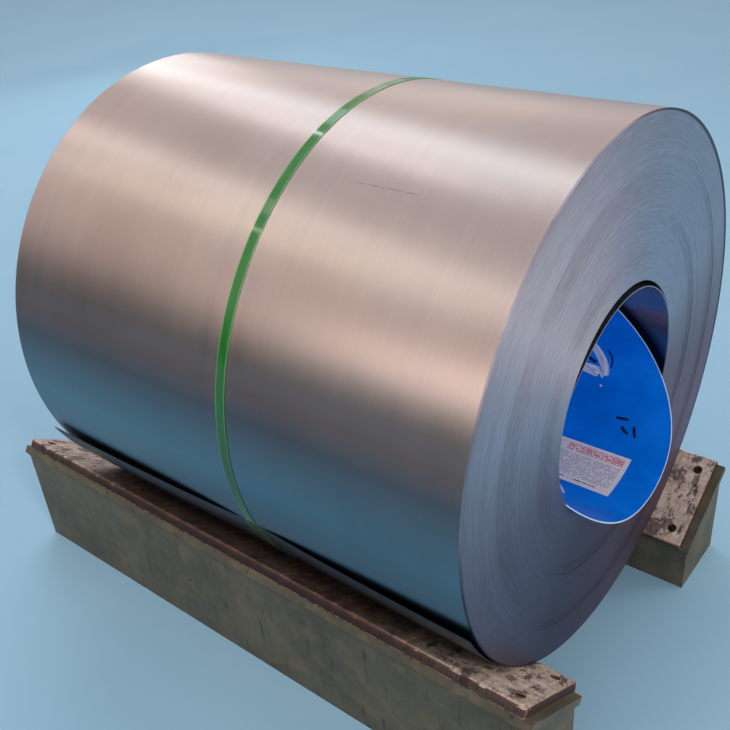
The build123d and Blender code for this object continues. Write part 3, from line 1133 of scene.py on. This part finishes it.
# %% [markdown]
# ## Bolts and weld beads
#
# Two bolts hold each end of a board. Their heads lie sunk in their holes, dark with grease. A
# hexagon is a cylinder with six sides, and a bevel softens it. The bearers' plates are welded to
# their boxes. A weld could be a plain rod, but its ripples are what tells it from a painted
# corner. So it is a tube whose rings are alternately thicker and thinner.


# %% Greasy steel for bolts
def make_greasy_steel():
    """Rolled steel under dirt and old grease."""
    material = start_material("greasy_steel", Metallic=0.6)
    here = add(material, "TexCoord", result="Object")
    where = add(material, "Mapping", {"Vector": here, "Scale": per_mm(6, 6, 6)})
    dirt = add(material, "TexNoise", {"Vector": where, "Scale": 1, "Detail": 4})
    colour = add(material, "ValToRGB", {0: dirt}, stops=[(0.35, "#1D1816"), (0.7, "#4A3D35")])
    rough = {"Value": dirt, "From Min": 0.3, "From Max": 0.7, "To Min": 0.4, "To Max": 0.7}
    return finish_material(material, Base_Color=colour, Roughness=add(material, "MapRange", rough))


greasy_steel = make_greasy_steel()

# %% Bolt heads in the boards
bolt_pitch_across = 170 * MM
bolt_from_end = 35 * MM
bolt_depth = 14 * MM
bolt_head_radius = 8 * MM
bolt_head_height = 7 * MM
bolt_bevel = 0.8 * MM
for rail_name, side in rails.items():
    bm = bmesh.new()
    lean = Matrix.Rotation(side * math.radians(rail_slope), 4, "X")
    middle = board_width / 2 - edge_past_contact[side]
    for end in (-1, 1):
        for across in (-1, 1):
            spot = on_rail(
                side,
                middle + across * bolt_pitch_across / 2,
                bolt_depth - bolt_head_height / 2,
                end * (board_length / 2 - bolt_from_end),
            )
            bmesh.ops.create_cone(
                bm,
                cap_ends=True,
                segments=6,
                radius1=bolt_head_radius,
                radius2=bolt_head_radius,
                depth=bolt_head_height,
                matrix=Matrix.Translation(spot) @ lean,
            )
    bmesh.ops.bevel(
        bm,
        geom=bm.edges[:],
        offset=bolt_bevel,
        segments=2,
        profile=0.5,
        affect="EDGES",
        material=-1,
    )
    finish_piece(bm, f"{rail_name}_bolt_heads", greasy_steel)

# %% Weld beads under the plates
bead_radius = 5 * MM
bead_sides = 6
ripple_pitch = 7 * MM
ripple_waist = 0.8


def add_bead(bm, start, end):
    """One rippled bead between two points, along the corner that it fills."""
    run = end - start
    ripples = int(run.length / ripple_pitch)
    first = bmesh.ops.create_circle(
        bm,
        cap_ends=True,
        segments=bead_sides,
        radius=bead_radius,
        matrix=Matrix.Translation(start) @ run.to_track_quat("Z", "Y").to_matrix().to_4x4(),
    )
    ring = list({edge for vert in first["verts"] for edge in vert.link_edges})
    swell = 1.0
    for ripple in range(ripples):
        grown = bmesh.ops.extrude_edge_only(bm, edges=ring)
        verts = [part for part in grown["geom"] if isinstance(part, bmesh.types.BMVert)]
        ring = [part for part in grown["geom"] if isinstance(part, bmesh.types.BMEdge)]
        ring = [edge for edge in ring if all(vert in verts for vert in edge.verts)]
        bmesh.ops.translate(bm, verts=verts, vec=run / ripples)
        centre = sum((vert.co for vert in verts), Vector()) / len(verts)
        next_swell = 1.0 if ripple % 2 else ripple_waist
        change = next_swell / swell
        swell = next_swell
        bmesh.ops.scale(bm, verts=verts, vec=(change,) * 3, space=Matrix.Translation(-centre))
    bmesh.ops.contextual_create(bm, geom=ring)


under = board_thickness + plate_thickness
box_end = board_length / 2 + plate_past_board - box_inset
for rail_name, side in rails.items():
    bm = bmesh.new()
    inner = box_inset - edge_past_contact[side]
    outer = board_width - edge_past_contact[side] - box_inset
    for along in (inner, outer):
        add_bead(bm, on_rail(side, along, under, -box_end), on_rail(side, along, under, box_end))
    for x in (-box_end, box_end):
        add_bead(bm, on_rail(side, inner, under, x), on_rail(side, outer, under, x))
    finish_piece(bm, f"{rail_name}_weld_beads", chipped_enamel)

# %% [markdown]
# ## Floor and light
#
# The object stands on a plain pale floor in soft studio light. One big soft lamp would do for a
# box, but a metal cylinder shows little but what it mirrors, so the lamps are made for it. Two
# long soft rows hang beyond the far end and draw the two bright bands along the top, and a thin
# tube beside each puts one short glint on the strap. A low lamp beyond the far end whitens the
# top there. Two lamps low before the near end make the fans of light on its turns, and one looks
# into the bore. A weak one lifts the front side, and two light the floor. The sky is
# duller at the horizon, and a black flag, as photographers call a dark cloth, stands low beyond
# the front side. Both give the darker band along the coil's side.


# %% Floor
def make_floor_paint():
    """Matt pale floor paint with the faintest mottling."""
    material = start_material("pale_floor", Roughness=0.75, Specular_IOR_Level=0.2)
    here = add(material, "TexCoord", result="Object")
    cloud = add(material, "TexNoise", {"Vector": here, "Scale": 1.3, "Detail": 3})
    colour = add(material, "ValToRGB", {0: cloud}, stops=[(0.3, "#A2D3EA"), (0.7, "#A8D7EC")])
    return finish_material(material, Base_Color=colour)


floor_radius = 30
bm = bmesh.new()
bmesh.ops.create_circle(bm, cap_ends=True, segments=64, radius=floor_radius)
floor_mesh = bpy.data.meshes.new("floor")
bm.to_mesh(floor_mesh)
bm.free()
floor_mesh.materials.append(make_floor_paint())
floor = bpy.data.objects.new("floor", floor_mesh)
bpy.context.scene.collection.objects.link(floor)
floor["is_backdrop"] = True
print("floor laid")

# %% Sky
sky_strength = 1.12
towards_front = (-0.65, -0.76, 0)
world = bpy.data.worlds.new("studio")
world.use_nodes = True
bpy.context.scene.world = world
outwards = add(world, "TexCoord", result="Generated")
height = add(world, "SeparateXYZ", {0: outwards}, result="Z")
far_stops = [(0.02, "#9AA0A8"), (0.1, "#D8DDE6"), (0.3, "#E6D4D2"), (0.5, "#E6D4D2"), (0.65, "#D8D1D8")]
near_stops = [(0.12, "#818080"), (0.3, "#FFF0F7"), (0.45, "#FFF0F7"), (0.65, "#202020")]
far_sky = add(world, "ValToRGB", {0: height}, stops=far_stops)
near_sky = add(world, "ValToRGB", {0: height}, stops=near_stops)
nearwards = add(world, "SeparateXYZ", {0: outwards}, result="X")
nearwards = add(world, "MapRange", {"Value": nearwards, "From Min": -0.3, "From Max": 0.3})
sky = add(world, "Mix", {"Factor": nearwards, "A": far_sky, "B": near_sky}, data_type="RGBA")
towards_flag = add(world, "VectorMath", {0: outwards, 1: towards_front}, operation="DOT_PRODUCT")
beside_flag = {"Value": towards_flag, "From Min": 0.6, "From Max": 0.9, "To Min": 1, "To Max": 0.02}
beside_flag = add(world, "MapRange", beside_flag, interpolation_type="SMOOTHSTEP")
above_flag = {"Value": height, "From Min": 0.05, "From Max": 0.4}
above_flag = add(world, "MapRange", above_flag, interpolation_type="SMOOTHSTEP")
clear_of_flag = add(world, "Math", {0: beside_flag, 1: above_flag}, operation="MAXIMUM")
flagged = {"Factor": clear_of_flag, "A": linear("#000000"), "B": sky}
sky = add(world, "Mix", flagged, data_type="RGBA")
background = world.node_tree.nodes["Background"]
background.inputs["Strength"].default_value = sky_strength
world.node_tree.links.new(sky, background.inputs["Color"])
print("sky ready")


# %% Lamps
ceiling_line = Vector((-0.88, 0.48, 0))


def add_lamp(name, place, aim, size, power, colour):
    """A rectangular soft lamp that points at a place. Its first size runs along the ceiling lines."""
    lamp = bpy.data.objects.new(name, bpy.data.lights.new(name, "AREA"))
    lamp.data.shape = "RECTANGLE"
    lamp.data.size, lamp.data.size_y = size
    lamp.data.energy = power
    lamp.data.color = linear(colour)[:3]
    facing = (Vector(place) - Vector(aim)).normalized()
    length = ceiling_line.cross(facing).cross(facing).normalized()
    turn = Matrix((length, facing.cross(length), facing)).transposed()
    lamp.matrix_world = Matrix.Translation(place) @ turn.to_4x4()
    bpy.context.scene.collection.objects.link(lamp)


lamps = {
    "rear_row": ((-4.6, 3.1, 4.2), (-4.6, 3.1, 0), (10.4, 0.7), 40, "#E5F4FF"),
    "rear_tubes": ((-2.56, 1.16, 4.15), (-2.56, 1.16, 0), (3.5, 0.05), 7.5, "#F2F6FF"),
    "front_row": ((-2.95, -1.25, 4.2), (-2.95, -1.25, 0), (8.0, 0.5), 20, "#FFFCF7"),
    "front_tubes": ((-3.08, -2.12, 4.15), (-3.08, -2.12, 0), (3.5, 0.05), 8.5, "#FFF4DC"),
    "low_front": ((-0.7, -3.0, 2.0), (0.6, -0.5, 1.0), (1.2, 0.8), 5.72, "#FFECE3"),
    "far_top": ((-5.3, 3.3, 2.4), (-0.4, 0, 1.3), (2.0, 1.9), 20, "#F6FBFF"),
    "right_floor": ((3.5, 3.0, 3.5), (1.9, 1.8, 0), (2.0, 2.0), 26.1, "#FFFBFF"),
    "near_low": ((4.5, 2.2, 1.3), (0.7, 0, 0.7), (1.6, 1.6), 18.5, "#FFF2DE"),
    "bore_light": ((2.8, -1.6, 2.8), (0.45, 0.05, 0.5), (0.5, 0.5), 34, "#FBF8FF"),
    "face_glint": ((4.4, 1.2, 0.45), (0.7, 0, 0.7), (1.2, 0.6), 10, "#FFDFA0"),
    "rear_wash": ((-4.0, 6.5, 4.0), (-3.0, 4.5, 0), (3.0, 3.0), 12.6, "#F7FCFF"),
}
for name, lamp in lamps.items():
    add_lamp(name, *lamp)
print("lamps hung:", ", ".join(lamps))

# %% [markdown]
# ## Picture settings and the model's boxes
#
# The view transform is the plain one, so a colour renders as it is written. The box of the
# dressed model is printed beside the box of the bare one, to show that the looks added no size.

# %% Finish
bpy.context.scene.view_settings.view_transform = "Standard"
dressed_low, dressed_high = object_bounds()
sizes = {
    "cad": [list(cad_low), list(cad_high)],
    "visual": [list(dressed_low), list(dressed_high)],
}
print("bare box", sizes["cad"], "dressed box", sizes["visual"])
